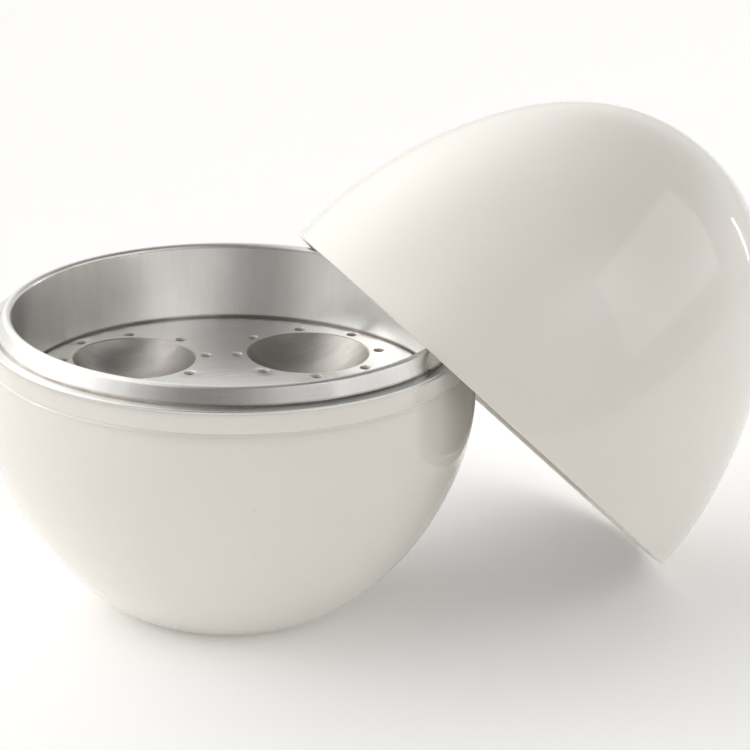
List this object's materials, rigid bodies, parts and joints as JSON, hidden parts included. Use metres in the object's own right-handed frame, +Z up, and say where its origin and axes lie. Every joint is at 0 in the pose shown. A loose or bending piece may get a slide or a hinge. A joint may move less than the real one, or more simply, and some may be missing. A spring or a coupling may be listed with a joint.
{
  "type": "microwave egg boiler",
  "caption": "Egg-shaped microwave boiler: aluminium-lined plastic base with a lift-out dished egg tray, and its domed, metal-lined lid leaning beside it.",
  "frame": {"origin": "centre of the base's round foot, on the table", "axes": "+Z up along the axis of the base, +X level towards the side on which the lid leans, +Y level away from the viewer"},
  "size_m": [0.2434, 0.1504, 0.1429],
  "materials": {
    "base_plastic": "glossy off-white moulding",
    "base_aluminium": "bright, finely turned drawn sheet",
    "tray_aluminium": "satin pressed sheet",
    "lid_plastic": "glossy off-white moulding",
    "lid_aluminium": "bright drawn sheet"
  },
  "bodies": {
    "root": {"base_shell": "base_plastic", "base_liner": "base_aluminium", "egg_tray": "tray_aluminium", "lid_shell": "lid_plastic", "lid_liner": "lid_aluminium"}
  },
  "joints": []
}
